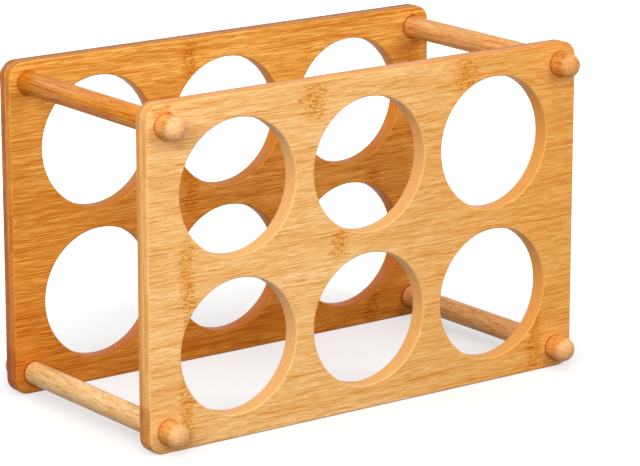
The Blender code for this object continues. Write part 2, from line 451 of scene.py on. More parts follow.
def make_finish_group():
    """Colour, roughness and height of lacquered bamboo from its masks."""
    tree, w, start, end = new_group("lacquered_bamboo", {
        "Streaks": 0.5, "Lines": 0.0, "Fibres": 0.5, "Tone": 0.5, "Glue Line": 0.0,
        "Band": 0.0, "Curls": 0.0, "End Grain": 0.0, "Wear And Highlight": 0.0,
        "Pale": (0.85, 0.5, 0.22), "Dark": (0.6, 0.28, 0.09), "Roughness": 0.4,
    }, {"Colour": "Color", "Roughness": "Float", "Height": "Float"})
    curls = w.times(start["Band"], start["Curls"])
    # Cut across, a vessel is only a dot
    lines = w.times(start["Lines"], w.minus(1.0, w.times(start["End Grain"], LINE_LOST_ACROSS)))
    wood = w.blend(start["Streaks"], start["Dark"], start["Pale"])
    wood = w.stain(wood, w.blend(start["Tone"], PALE_STRIP, DEEP_STRIP))
    shares = {"Lines": lines, "Curls": curls}
    for mark, tint in STAINS.items():
        wood = w.stain(wood, tint, shares.get(mark, start[mark]))
    bright = w.stain(wood, w.blend(start["Fibres"], DEEP_FIBRE, PALE_FIBRE))
    # Edges are paled partly as sanded wear and partly as a painted highlight
    colour = w.blend(w.times(start["Wear And Highlight"], WORN_PALE_AND_HIGHLIGHT), bright, start["Pale"])
    grooves = w.plus(w.times(start["Lines"], LINE_GROOVE), start["Glue Line"])
    rough = w.plus(start["Roughness"], w.ramp(start["Streaks"], 0.0, 1.0, STREAK_SHEEN,
                                              -STREAK_SHEEN))
    rough = w.plus(rough, w.times(grooves, GROOVE_DULLNESS), w.times(curls, CURL_DULLNESS))
    ground = w.plus(w.times(start["Streaks"], STREAK_RISE),
                    w.times(start["Fibres"], FIBRE_RISE))
    low = w.plus(grooves, w.times(curls, CURL_GROOVE))
    w.feed_all(end, {"Colour": colour, "Roughness": rough, "Height": w.minus(ground, low)})
    return tree


FINISH = make_finish_group()
print("group:", FINISH.name)

# %% [markdown]
# ## Board bamboo
#
# A board is three plies. The strips of the outer ones lie along X, and those of
# the core stand upright, so the board can't warp. All show on the narrow sides.
#
# The marks are the knuckle bands that each face shows, at real places in metres:
# the middle along X, the lower and upper end, and half the band's width.

# %% Plies, strips and knuckle bands of the boards
OUTER_PLY = 0.004
STRIP_WIDTH = 0.0236

BOARD_MARKS = {
    "front_panel": {
        "front": [(-0.1365, 0.0, 0.132, 0.006), (-0.152, 0.204, 0.216, 0.0085),
                  (-0.041, 0.188, 0.216, 0.011), (-0.025, 0.098, 0.121, 0.0075),
                  (0.075, 0.19, 0.216, 0.01), (0.136, 0.0, 0.062, 0.0065)],
        "rear": [(-0.06, 0.0, 0.216, 0.0065), (0.148, 0.08, 0.216, 0.007)],
    },
    "rear_panel": {
        "front": [(-0.03, 0.098, 0.216, 0.0065), (0.12, 0.0, 0.11, 0.007),
                  (0.154, 0.12, 0.216, 0.006)],
        "rear": [(0.052, 0.0, 0.128, 0.007), (-0.146, 0.09, 0.216, 0.007),
                 (0.146, 0.15, 0.216, 0.006)],
    },
}
print("marks:", {board: sum(map(len, faces.values()))
                 for board, faces in BOARD_MARKS.items()})

# %% [markdown]
# ## One way to build each material
#
# Each bamboo material places the shared groups, joins their masks and feeds one
# Principled shader. The lacquer is thin and satin, so the shader mirrors little and
# softly, with only a trace of clear coat. Two helpers keep all materials alike.

# %% Helpers for materials
LACQUER_MIRROR = 0.12
COAT_ROUGHNESS = 0.3


def new_material(name):
    """A new material with its wiring and its Principled shader."""
    material = bpy.data.materials.new(name)
    material.use_nodes = True
    tree = material.node_tree
    return material, Wiring(tree), tree.nodes["Principled BSDF"]


def dress_shader(w, shader, finish, bump_height, coat):
    """Lead the finish group's outputs to the shader."""
    w.feed_all(shader.inputs, {
        "Base Color": finish["Colour"], "Roughness": finish["Roughness"],
        "Normal": w.bump(finish["Height"], bump_height),
        "Specular IOR Level": LACQUER_MIRROR,
        "Coat Weight": coat, "Coat Roughness": COAT_ROUGHNESS})


print("material helpers ready")

# %% [markdown]
# ## Where on a board a point lies
#
# One material covers a whole board, so it must know what part a point is on. The
# depth gives the ply. The way the surface faces tells a wall from a face, and the
# distance from the middle tells the outline's walls from a hole's. A hole's wall is
# sanded so smooth that its plies can't be told apart.

# %% Masks of a board
# Width and depth of the painted shade ring round each knob
SHADE_RING_WIDTH, SHADE_RING_DEPTH = 0.0012, 0.9
PLY_GLUE_WIDTH, PLY_GLUE_DEPTH = 0.0002, 0.25


def board_masks(w, node):
    """Plies, walls, holes, glue and a painted shade ring round each knob, as masks by name."""
    place = w.coordinate("Object")
    x, y, z = w.parts(place)
    facing = w.parts(w.coordinate("Normal"))
    depth = w.minus(y, box_middle(node).y)
    away_x, away_y, away_z = (w.absolute(value) for value in (
        x, depth, w.minus(z, BOARD_HEIGHT / 2)))
    outline = w.most(
        w.math("GREATER_THAN", away_x, BOARD_WIDTH / 2 - BOARD_CORNER_RADIUS),
        w.math("GREATER_THAN", away_z, BOARD_HEIGHT / 2 - BOARD_CORNER_RADIUS))
    wall = w.ease(w.absolute(facing[1]), 0.75, 0.95, 1.0, 0.0)
    in_hole = w.times(wall, w.minus(1.0, outline))
    out_of_hole = w.minus(1.0, in_hole)
    core_half = BOARD_THICKNESS / 2 - OUTER_PLY
    core = w.times(out_of_hole, w.math("LESS_THAN", away_y, core_half))
    seam = w.absolute(w.minus(away_y, core_half))
    ply_glue = w.ease(seam, 0.0, PLY_GLUE_WIDTH, PLY_GLUE_DEPTH, 0.0)
    # Painted shade rings each knob where it meets the board
    from_knob = w.length(w.vector(w.minus(away_x, CORNER_GAP.x / 2),
                                  w.minus(away_z, CORNER_GAP.z / 2), 0.0))
    ring = w.ease(from_knob, KNOB_DIAMETER / 2, KNOB_DIAMETER / 2 + SHADE_RING_WIDTH,
                  SHADE_RING_DEPTH, 0.0)
    across = w.choose(core, w.absolute(facing[0]), w.absolute(facing[2]))
    return SimpleNamespace(
        place=place, x=x, z=z, depth=depth, core=core, ring=ring,
        behind=w.math("GREATER_THAN", depth, 0.0),
        turned=w.blend(core, place, w.vector(z, y, x)),
        edge=w.times(outline, wall), in_hole=in_hole, out_of_hole=out_of_hole,
        ply_glue=w.times(ply_glue, out_of_hole), end_grain=w.ease(across, 0.35, 0.95),
        # Walls that face up, which get painted shade
        shaded_tops=w.times(wall, w.ease(facing[2], 0.2, 0.9)))


print("board masks ready")

# %% [markdown]
# ## Tones of the edges and the holes, and painted shade
#
# On the narrow sides the strips' ends differ in tone, and the rear ply is darker,
# partly by its own tone and partly by painted shade along the rear edge. Painted
# shade darkens the feet near the floor and the walls that face up, and the holes'
# walls are pale in front and deep in the rear board. Each is a tint that multiplies
# the wood's own colour, which also deepens a little towards one end or one edge:
# towards the front board's right partly by its own tone and partly by painted shade,
# and towards the rear board's foot by painted shade.

# %% Tints of a board, with painted shade
WHITE = (1.0, 1.0, 1.0)
# Painted shade on the narrow sides near the floor
FOOT_SHADE_TINT = (0.78, 0.6, 0.4)
FOOT_HEIGHT, FOOT_FADE = 0.034, 0.008
PLY_FADE = 0.0004
DRIFT_START = 0.15


def board_tint(w, masks, tone, look):
    """The tint that edges, feet, holes and painted shade multiply the wood's colour by."""
    # The rear ply is darker partly by its own tone and partly by painted shade along the rear
    # edge
    rear_ply = w.ease(masks.depth, look.deep_from, look.deep_from + PLY_FADE)
    edge_tint = w.blend(rear_ply, w.blend(tone, look.deep_side, look.pale_side),
                        w.blend(tone, look.deep_rear_ply, look.deep_side))
    # Painted shade deepens the narrow sides near the floor
    foot_shade = w.ease(masks.z, FOOT_HEIGHT, FOOT_HEIGHT - FOOT_FADE)
    edge_tint = w.stain(edge_tint, FOOT_SHADE_TINT, foot_shade)
    tint = w.blend(masks.in_hole, WHITE, look.hole_tint)
    tint = w.blend(masks.edge, tint, edge_tint)
    # Painted shade darkens the walls that face up
    return w.stain(tint, look.upper_tint, masks.shaded_tops)


def drifting(w, masks, tint, look):
    """The board's tones, tinted, and deeper towards one of its sides, partly by painted shade.
    """
    # The front board deepens to the right partly by its own tone and partly by painted shade;
    # the rear board's darkening to the bottom is painted shade
    if look.drifts_to == "right":
        along = w.ease(masks.x, -BOARD_WIDTH * DRIFT_START, BOARD_WIDTH / 2)
    else:
        along = w.ramp(masks.z, BOARD_HEIGHT, 0.0)
    for tone in look.tones:
        deepest = [part * drift for part, drift in zip(tone, look.drift)]
        yield w.stain(w.blend(along, tone, deepest), tint)


print("board tints ready")

# %% [markdown]
# ## The boards' material
#
# Grain and strips turn with the ply, the knuckle bands lie on the faces alone, and
# in the holes the grain is calmer. The front board is pale and fine, and the rear
# one is a deeper orange with longer, darker lines. Its deeper orange is partly its
# own tone and partly painted shade, where the front board keeps light off it.

# %% Board material
REAR_PLY_BATCH, CORE_BATCH = 3.37, 1.73
BAND_WANDER = 0.0006
HOLE_CALM, HOLE_LINES, HOLE_WEAR_AND_HIGHLIGHT = 0.8, 0.1, 0.2
BOARD_ROUGHNESS, BOARD_COAT = 0.42, 0.03


def board_material(node, look):
    """Three-ply bamboo with this board's own knuckle bands and drift of tone."""
    material, w, shader = new_material(f"{node}_bamboo")
    masks = board_masks(w, node)
    place, turned = masks.place, masks.turned
    # Each ply has strips of its own
    batch = w.plus(look.batch, w.plus(w.times(masks.behind, REAR_PLY_BATCH),
                                      w.times(masks.core, CORE_BATCH)))
    face_bands = [w.most(*[
        w.group(KNUCKLE, {"Place": place, "Middle": middle, "Bottom": bottom, "Top": top,
                          "Half Width": half_width, "Strip Width": STRIP_WIDTH})["Band"]
        for middle, bottom, top, half_width in marks])
        for marks in BOARD_MARKS[node].values()]
    band = w.times(w.choose(masks.behind, *face_bands),
                   w.times(masks.out_of_hole, w.minus(1.0, masks.core)))
    grain = w.group(GRAIN, {
        "Place": turned, "Wander": w.plus(look.wander, w.times(band, BAND_WANDER)),
        "Wander Length": 0.036, "Streak Pitch": look.streak_pitch,
        "Line Pitch": 0.0006, "Line Length": look.line_length, "Line Share": 0.58})
    strips = w.group(STRIPS, {"Place": turned, "Strip Width": STRIP_WIDTH,
                              "Glue Width": 0.0003, "Batch": batch})
    tint = board_tint(w, masks, strips["Tone"], look)
    pale, dark = drifting(w, masks, tint, look)
    fibres = w.ramp(grain["Fibres"], look.fibre_low, 1.0 - look.fibre_low)

    def calmed(value):
        return w.choose(w.times(masks.in_hole, HOLE_CALM), value, 0.5)

    def fading_in_hole(full, least):
        return w.ramp(masks.in_hole, 0.0, 1.0, full, least)

    finish = w.group(FINISH, {
        "Streaks": calmed(grain["Streaks"]), "Fibres": calmed(fibres),
        "Lines": w.times(grain["Lines"], fading_in_hole(look.line_depth, HOLE_LINES)),
        "Tone": strips["Tone"],
        # The glue mask also carries the painted shade ring round each knob
        "Glue Line": w.most(w.times(strips["Glue Line"], masks.out_of_hole),
                            masks.ply_glue, masks.ring),
        "Band": band, "Curls": w.group(CURLS, {"Place": place})["Curls"],
        "End Grain": masks.end_grain,
        # Rounded edges get sanded wear and a painted highlight, weaker in the holes
        "Wear And Highlight": w.times(w.attribute("edge_round", "Fac"), fading_in_hole(1.0, HOLE_WEAR_AND_HIGHLIGHT)),
        "Pale": pale, "Dark": dark, "Roughness": BOARD_ROUGHNESS})
    dress_shader(w, shader, finish, look.bump_height, BOARD_COAT)
    return material


BOARD_LOOKS = {
    "front_panel": SimpleNamespace(
        tones=((0.96, 0.61, 0.272), (0.9, 0.52, 0.198)),
        drift=(0.93, 0.77, 0.46), drifts_to="right",
        deep_side=(0.9, 0.73, 0.46), pale_side=(1.08, 1.14, 1.28),
        deep_rear_ply=(0.76, 0.58, 0.36), upper_tint=(0.86, 0.79, 0.67),
        hole_tint=(0.98, 1.01, 1.14), deep_from=0.0016, wander=0.0008,
        streak_pitch=0.0042, line_length=0.03, line_depth=0.85,
        fibre_low=0.0, batch=0.7373, bump_height=0.00004),
    "rear_panel": SimpleNamespace(
        # Deeper tones, partly the board's own and partly painted shade from the front board
        tones=((0.92, 0.49, 0.12), (0.75, 0.325, 0.048)),
        drift=(0.86, 0.64, 0.4), drifts_to="bottom",
        deep_side=(0.8, 0.64, 0.42), pale_side=(1.0, 0.98, 0.9),
        deep_rear_ply=(0.56, 0.37, 0.15), upper_tint=(0.7, 0.62, 0.46),
        hole_tint=(0.95, 0.8, 0.42), deep_from=0.0002, wander=0.0005,
        streak_pitch=0.0034, line_length=0.05, line_depth=1.25,
        fibre_low=0.32, batch=11.0, bump_height=0.00005),
}
BOARD_BAMBOO = {node: board_material(node, look) for node, look in BOARD_LOOKS.items()}
print("materials:", [bamboo.name for bamboo in BOARD_BAMBOO.values()])

# %% [markdown]
# ## Rod and knob bamboo
#
# Rods and knobs are turned from laminated squares whose fibres run along the rod.
# Each one has its own tone, and now and then a knuckle falls in a knob. The corner
# points carry these as attributes, and the material reads them. Each piece also
# carries its own place from its own middle, so that its strips turn with it.

# %% Turned bamboo material
GRAIN_SHIFT = 7.0
BLOTCHES_PER_METRE = 420.0
DOME_LINES = 0.25
TURNED_ROUGHNESS, TURNED_BUMP, TURNED_COAT = 0.36, 0.00003, 0.05


def turned_material(name, strip_width, tones, deep_tones, dome_tones_and_highlight=()):
    """Bamboo for a piece turned about its own Z, with tones set by its corner."""
    material, w, shader = new_material(name)
    own = w.attribute("own_place", "Vector")
    tone = w.attribute("tone", "Fac")
    own_x, own_y, own_z = w.parts(own)
    # Far apart in the noise, so that no two pieces share their grain
    shift = w.times(tone, GRAIN_SHIFT)
    along = w.vector(w.plus(own_z, shift), own_y, w.plus(own_x, shift))
    grain = w.group(GRAIN, {
        "Place": along, "Wander": 0.0004, "Wander Length": 0.02, "Streak Pitch": 0.0018,
        "Line Pitch": 0.0005, "Line Length": 0.018, "Line Share": 0.6})
    strips = w.group(STRIPS, {
        "Place": along, "Strip Width": strip_width, "Glue Width": 0.0002})
    pale, dark = (w.blend(tone, *pair) for pair in zip(tones, deep_tones))
    streaks, lines = grain["Streaks"], grain["Lines"]
    if dome_tones_and_highlight:
        # The dome is paler, partly as sanded end grain and partly as a painted highlight
        dome_pale_and_highlight_share = w.minus(1.0, w.times(tone, 0.5))
        on_dome = w.ease(own_z, KNOB_SHOULDER - 0.0005, KNOB_SHOULDER + 0.0025, 0.0, dome_pale_and_highlight_share)
        pale, dark = (w.blend(on_dome, *pair) for pair in zip((pale, dark), dome_tones_and_highlight))
        # On the dome the fibres are cut across, so lines turn to blotches
        blotches = w.noise(w.stretched(own, *[BLOTCHES_PER_METRE] * 3))
        streaks = w.choose(on_dome, streaks, w.ramp(blotches, 0.3, 0.7))
        lines = w.times(lines, w.ramp(on_dome, 0.0, 1.0, 1.0, DOME_LINES))
    finish = w.group(FINISH, {
        "Streaks": streaks, "Lines": lines, "Fibres": grain["Fibres"],
        "Tone": strips["Tone"], "Glue Line": strips["Glue Line"],
        "Band": w.attribute("specks", "Fac"),
        "Curls": w.group(CURLS, {"Place": own, "Curl Pitch": 0.0009})["Curls"],
        "Pale": pale, "Dark": dark, "Roughness": TURNED_ROUGHNESS})
    dress_shader(w, shader, finish, TURNED_BUMP, TURNED_COAT)
    return material


ROD_BAMBOO = turned_material(
    "rod_bamboo", 0.0052, ((0.96, 0.7, 0.4), (0.82, 0.5, 0.23)),
    ((0.78, 0.315, 0.022), (0.55, 0.165, 0.004)))
# The last pair of tones is the dome's: sanded end grain with a painted highlight
KNOB_BAMBOO = turned_material(
    "knob_bamboo", 0.0034, ((0.9, 0.5, 0.17), (0.74, 0.35, 0.085)),
    ((0.84, 0.43, 0.14), (0.66, 0.31, 0.08)), ((0.95, 0.6, 0.31), (0.82, 0.43, 0.2)))
print("materials:", ROD_BAMBOO.name, KNOB_BAMBOO.name)

# %% [markdown]
# ## The drilled board
#
# On the real rack a router cuts the board's outline and its holes, and a round bit
# breaks every edge. Here a Geometry Nodes tree does the same, with a rectangle that
# has round corners, and circles on a grid of points for the holes. One section, a
# wall with a rounded edge at each end, is swept along all these lines, with the
# wood on their left, and the flat faces fill what lies between. Booleans could cut
# the holes too, but swept edges stay clean and every size stays a named input.

# %% Board tree
EDGE_STEPS = 5
HOLE_STEPS = 120
CORNER_STEPS = 12
STUD_HOLE_STEPS = 32


def make_board_tree():
    """A board in XZ with round corners, bottle holes, stud holes and soft edges."""
    tree, w, start, end = new_group("drilled_board", {
        "Width": 0.3, "Height": 0.2, "Thickness": 0.01, "Corner Radius": 0.01,
        "Edge Rounding": 0.001, "Bottle Hole Diameter": 0.08, "Bottle Hole Spacing": 0.1,
        "Columns": 3, "Rows": 2, "Stud Hole Diameter": 0.007, "Stud Spacing X": 0.3,
        "Stud Spacing Z": 0.18, "Middle": "Vector", "Bamboo": "Material",
    }, {"Board": "Geometry"}, "GeometryNodeTree")

    # The outline runs anticlockwise, so the wood is on its left
    outline = w.shape("CurvePrimitiveQuadrilateral", {
        "Width": start["Width"], "Height": start["Height"]}, mode="RECTANGLE")
    rounded = w.shape("FilletCurve", {
        "Curve": outline, "Radius": start["Corner Radius"], "Count": CORNER_STEPS},
        mode="POLY")

    def circles(columns, rows, spacing_x, spacing_z, diameter, steps):
        grid = w.shape("MeshGrid", {
            "Size X": w.times(spacing_x, w.minus(columns, 1.0)),
            "Size Y": w.times(spacing_z, w.minus(rows, 1.0)),
            "Vertices X": columns, "Vertices Y": rows})
        circle = w.shape("CurvePrimitiveCircle", {
            "Resolution": steps, "Radius": w.over(diameter, 2.0)})
        placed = w.shape("InstanceOnPoints", {"Points": grid, "Instance": circle})
        real = w.shape("RealizeInstances", {"Geometry": placed})
        # Turned round, so that the wood is on its left too
        return w.shape("ReverseCurve", {"Curve": real})

    spacing = start["Bottle Hole Spacing"]
    bottles = circles(start["Columns"], start["Rows"], spacing, spacing,
                      start["Bottle Hole Diameter"], HOLE_STEPS)
    studs = circles(2, 2, start["Stud Spacing X"], start["Stud Spacing Z"],
                    start["Stud Hole Diameter"], STUD_HOLE_STEPS)

    # The section: the wall between two quarter rounds
    count = 2 * EDGE_STEPS + 2
    strand = w.shape("ResampleCurve", {
        "Curve": w.shape("CurvePrimitiveLine"), "Count": count})
    index = w.shape("InputIndex")
    from_end = w.math("MINIMUM", index, w.minus(count - 1.0, index))
    angle = w.times(from_end, QUARTER / EDGE_STEPS)
    side = w.math("SIGN", w.minus((count - 1) / 2, index))
    inset = w.times(start["Edge Rounding"], w.minus(w.math("SINE", angle), 1.0))
    drop = w.times(start["Edge Rounding"], w.minus(1.0, w.math("COSINE", angle)))
    half = w.over(start["Thickness"], 2.0)
    rise = w.times(side, w.minus(half, drop))
    # Full in the middle of each rounding, where sanding leaves paler wood and a painted
    # highlight lies
    edge_round = w.math("SINE", w.times(w.math("MINIMUM", from_end, EDGE_STEPS),
                                        math.pi / EDGE_STEPS))
    marked = w.shape("StoreNamedAttribute", {
        "Geometry": strand, "Name": "edge_round", "Value": edge_round,
    }, data_type="FLOAT", domain="POINT")
    section = w.shape("SetPosition", {
        "Geometry": marked, "Position": w.vector(inset, rise, 0.0)})
    swept = w.shape("CurveToMesh", {
        "Curve": w.join(rounded, bottles, studs), "Profile Curve": section,
        "Fill Caps": False})
    walls = w.shape("SetShadeSmooth", {"Geometry": swept, "Shade Smooth": True})

    # The faces fill the upper open edges of the walls
    height = w.parts(w.shape("InputPosition"))[2]
    open_edge = w.math("LESS_THAN", w.shape("InputMeshEdgeNeighbors"), 1.5)
    upper = w.times(open_edge, w.math("GREATER_THAN", height, 0.0))
    rims = w.shape("MeshToCurve", {"Mesh": swept, "Selection": upper})
    filled = w.shape("FillCurve", {"Curve": rims})
    flat = w.shape("SetShadeSmooth", {"Geometry": filled, "Shade Smooth": False})
    front_face, rear_face = (w.shape("Transform", {
        "Geometry": flat, "Translation": w.vector(0.0, 0.0, w.times(half, sign))})
        for sign in (1.0, -1.0))
    rear_face = w.shape("FlipFaces", {"Mesh": rear_face})

    welded = w.shape("MergeByDistance", {
        "Geometry": w.join(walls, front_face, rear_face), "Distance": WELD_DISTANCE})
    stood = w.shape("Transform", {"Geometry": welded, "Translation": start["Middle"],
                                  "Rotation": (QUARTER, 0.0, 0.0)})
    w.deliver(end["Board"], stood, start["Bamboo"])
    return tree


BOARD_TREE = make_board_tree()
print("tree:", BOARD_TREE.name, "with", len(BOARD_TREE.nodes), "nodes")

# %% [markdown]
# ## From a tree to a finished piece
#
# A tree runs in a Nodes modifier. Its inputs are found by the identifier of their
# socket, because names may repeat. The evaluated mesh is copied out and becomes the
# piece, with its faces turned outwards.


# %% Running a tree
def put_in_scene(name, data):
    """A new object of the scene."""
    obj = bpy.data.objects.new(name, data)
    bpy.context.scene.collection.objects.link(obj)
    return obj


def close_up(name, work, mesh):
    """Turn a shape's faces outwards and make its mesh an object."""
    bmesh.ops.recalc_face_normals(work, faces=work.faces)
    print(f"{name}: {len(work.faces)} faces, {work.calc_volume() * 1e6:.1f} cm3, "
          f"open edges {sum(not edge.is_manifold for edge in work.edges)}")
    work.to_mesh(mesh)
    work.free()
    return put_in_scene(name, mesh)


def grow(name, tree, base_mesh, values):
    """Run a tree on a base mesh and give the plain mesh object that it makes."""
    helper = put_in_scene(f"{name}_helper", base_mesh)
    modifier = helper.modifiers.new("tree", "NODES")
    modifier.node_group = tree
    sockets = {item.name: item.identifier for item in tree.interface.items_tree
               if item.in_out == "INPUT"}
    for label, value in values.items():
        modifier[sockets[label]] = value
    evaluated = helper.evaluated_get(bpy.context.evaluated_depsgraph_get())
    mesh = bpy.data.meshes.new_from_object(evaluated)
    mesh.name = name
    bpy.data.objects.remove(helper)
    work = bmesh.new()
    work.from_mesh(mesh)
    return close_up(name, work, mesh)


def hand_over(piece, slot, *nodes):
    """Let a finished piece stand for its CAD nodes."""
    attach(piece, "root")
    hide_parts(*nodes)


# %% [markdown]
# ## The two boards
#
# Both boards are cut to one pattern, so one tree makes both. Only the place and the
# bamboo differ.

# %% Grow both boards
for board_name, node in (("front_board", "front_panel"), ("rear_board", "rear_panel")):
    board = grow(board_name, BOARD_TREE, bpy.data.meshes.new(f"{board_name}_base"), {
        "Width": BOARD_WIDTH, "Height": BOARD_HEIGHT, "Thickness": BOARD_THICKNESS,
        "Corner Radius": BOARD_CORNER_RADIUS, "Edge Rounding": BOARD_ARRIS,
        "Bottle Hole Diameter": BOTTLE_HOLE_DIAMETER,
        "Bottle Hole Spacing": BOTTLE_HOLE_SPACING, "Columns": 3, "Rows": 2,
        "Stud Hole Diameter": STUD_DIAMETER + 2 * STUD_HOLE_CLEARANCE,
        "Stud Spacing X": CORNER_GAP.x, "Stud Spacing Z": CORNER_GAP.z,
        "Middle": box_middle(node), "Bamboo": BOARD_BAMBOO[node]})
    hand_over(board, "board_bamboo", node)

# %% [markdown]
# ## Turned pieces
#
# Rods and knobs come off a lathe, so each is half a section spun about its axis. A
# knob ends in a flattened dome. It follows a superellipse, whose roundness lies
# between a circle's 2 and a square's many. Both pieces keep the blind bores for
# their fasteners.

# %% Lathe
TURN_STEPS = 64
DOME_STEPS = 14
ARRIS_STEPS = 4
SHARP_ANGLE = math.radians(35)


def quarter_round(radius_at, height_at, size, start_angle):
    """Points of a quarter circle about (radius_at, height_at)."""
    angles = [start_angle - QUARTER * i / ARRIS_STEPS for i in range(ARRIS_STEPS + 1)]
    return [(radius_at + size * math.cos(a), height_at + size * math.sin(a))
            for a in angles]


def turn_on_lathe(name, profile):
    """Spin a profile of (radius, height) points about Z into a closed mesh."""
    work = bmesh.new()
    points = [work.verts.new((radius, 0.0, height)) for radius, height in profile]
    edges = [work.edges.new(pair) for pair in zip(points, points[1:])]
    bmesh.ops.spin(work, geom=points + edges, cent=(0.0, 0.0, 0.0), axis=(0.0, 0.0, 1.0),
                   angle=math.tau, steps=TURN_STEPS, use_merge=True)
    bmesh.ops.remove_doubles(work, verts=work.verts, dist=WELD_DISTANCE)
    turned = close_up(name, work, bpy.data.meshes.new(name))
    turned.data.shade_smooth()
    turned.data.set_sharp_from_angle(angle=SHARP_ANGLE)
    return turned


def rod_profile():
    """Upper half of a rod with a bore in its end, mirrored for the lower half."""
    half, radius = ROD_LENGTH / 2, ROD_DIAMETER / 2
    bore = INSERT_DIAMETER / 2 + FIT_GAP
    insert_low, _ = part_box("insert_rear_top_left")
    floor = insert_low.y - FIT_GAP
    upper = [(0.0, floor), (bore, floor), (bore, half)]
    upper += quarter_round(radius - ROD_END_ARRIS, half - ROD_END_ARRIS, ROD_END_ARRIS,
                           QUARTER)
    return upper + [(r, -z) for r, z in reversed(upper)]


def knob_profile():
    """A knob standing on z = 0, from the top of its dome to the floor of its bore."""
    radius = KNOB_DIAMETER / 2
    bore = STUD_DIAMETER / 2 + FIT_GAP
    knob_low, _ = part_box("knob_rear_top_left")
    _, stud_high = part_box("stud_rear_top_left")
    floor = stud_high.y - knob_low.y + FIT_GAP
    power = 2 / KNOB_DOME_ROUNDNESS
    angles = [QUARTER * i / DOME_STEPS for i in range(DOME_STEPS)]
    dome = [(radius * math.sin(a) ** power,
             KNOB_SHOULDER + KNOB_DOME_HEIGHT * math.cos(a) ** power) for a in angles]
    base = quarter_round(radius - KNOB_BASE_ARRIS, KNOB_BASE_ARRIS, KNOB_BASE_ARRIS, 0.0)
    return (dome + [(radius, KNOB_SHOULDER)] + base
            + [(bore, 0.0), (bore, floor), (0.0, floor)])


turned_rod = turn_on_lathe("turned_rod", rod_profile())
turned_knob = turn_on_lathe("turned_knob", knob_profile())

# %% [markdown]
# ## Setting them at the corners
#
# A turned piece is needed at four corners, so it is instanced on four points. Each
# point carries how far the piece is turned about its axis, how deep its tone is and
# whether a knuckle falls in it. The tree first keeps each vertex's own place for
# the material, then lays the piece down along Y and sets it on the points.


# %% Corner tree
def make_corner_tree():
    """Sets a turned piece on each point, laid along Y and spun about its axis."""
    tree, w, start, end = new_group("set_at_corners", {
        "Points": "Geometry", "Turned Piece": "Object", "Lay Down": 0.0, "Bamboo": "Material",
    }, {"Pieces": "Geometry"}, "GeometryNodeTree")
    piece = w.node("GeometryNodeObjectInfo", {"Object": start["Turned Piece"]})
    kept = w.shape("StoreNamedAttribute", {
        "Geometry": piece.outputs["Geometry"], "Name": "own_place",
        "Value": w.shape("InputPosition"),
    }, data_type="FLOAT_VECTOR", domain="POINT")
    laid = w.shape("Transform", {
        "Geometry": kept, "Rotation": w.vector(start["Lay Down"], 0.0, 0.0)})
    spin = w.shape("InputNamedAttribute", {"Name": "spin"}, data_type="FLOAT")
    spun = w.add("FunctionNodeEulerToRotation", {"Euler": w.vector(0.0, spin, 0.0)})
    placed = w.shape("InstanceOnPoints", {
        "Points": start["Points"], "Instance": laid, "Rotation": spun})
    w.deliver(end["Pieces"], placed, start["Bamboo"])
    return tree


CORNER_TREE = make_corner_tree()
print("tree:", CORNER_TREE.name, "with", len(CORNER_TREE.nodes), "nodes")

# %% [markdown]
# ## Rods and knobs
#
# The points are a mesh without faces. A rod's point is the middle of its box. A
# knob stands on its base, and its dome points away from the board, so the front
# knobs lie one way and the rear ones the other.


# %% Rods and knobs on their corner points
def corner_points(name, nodes, to_base, facts):
    """A mesh of a point for each node, with an attribute for each fact."""
    places = [box_middle(node) for node in nodes]
    for place in places:
        place.y -= math.copysign(to_base, place.y)
    mesh = bpy.data.meshes.new(name)
    mesh.from_pydata([tuple(place) for place in places], [], [])
    for label, values in facts.items():
        mesh.attributes.new(label, "FLOAT", "POINT").data.foreach_set("value", values)
    return mesh


ROD_MAKE = ("rod_bamboo", ROD_BAMBOO, turned_rod, 0.0)
KNOB_MAKE = ("knob_bamboo", KNOB_BAMBOO, turned_knob, KNOB_LENGTH / 2)
CORNER_SETS = {
    "rods": ("rod", ROD_MAKE, QUARTER, {
        "tone": [1.0, 0.6, 0.0, 0.4], "spin": [0.3, 1.1, 2.4, 0.8],
        "specks": [0.0] * 4}),
    "front_knobs": ("knob_front", KNOB_MAKE, QUARTER, {
        "tone": [0.2, 0.9, 0.45, 0.3], "spin": [1.2, 0.5, 0.0, 1.9],
        "specks": [0.0, 0.6, 0.0, 0.2]}),
    "rear_knobs": ("knob_rear", KNOB_MAKE, -QUARTER, {
        "tone": [0.6, 0.3, 0.5, 0.4], "spin": [2.1, 0.9, 1.5, 0.4],
        "specks": [0.0, 0.1, 0.5, 0.0]}),
}
for name, (kind, (slot, bamboo, turned, to_base), lay_down, facts) in CORNER_SETS.items():
    nodes = [f"{kind}_{corner}" for corner in CORNERS]
    points = corner_points(f"{name}_points", nodes, to_base, facts)
    pieces = grow(name, CORNER_TREE, points, {
        "Turned Piece": turned, "Lay Down": lay_down, "Bamboo": bamboo})
    hand_over(pieces, slot, *nodes)

for helper in (turned_rod, turned_knob):
    bpy.data.objects.remove(helper)

# %% [markdown]
# ## Studs and inserts
#
# The fasteners sit inside the joints, so their solids stay as they are and only get
# their metals: a zinc-plated steel stud with the fine ridges of an M6 thread, and a
# turned brass insert.

# %% Metals
STAIN_DEPTH = 0.82


def metal_material(name, colour, roughness, ridge_pitch, ridge_height):
    """A metal with ridges along Y and slight stains."""
    material, w, shader = new_material(name)
    place = w.coordinate("Object")
    ridges = w.math("SINE", w.times(w.parts(place)[1], math.tau / ridge_pitch))
    stain = w.noise(w.stretched(place, 400.0, 150.0, 400.0), 3.0, 0.6)
    clean = w.ramp(stain, 0.3, 0.7)
    w.feed_all(shader.inputs, {
        "Base Color": w.blend(clean, [part * STAIN_DEPTH for part in colour], colour),
        "Roughness": w.ramp(stain, 0.3, 0.7, roughness + 0.1, roughness - 0.05),
        "Normal": w.bump(ridges, ridge_height), "Metallic": 1.0})
    return material


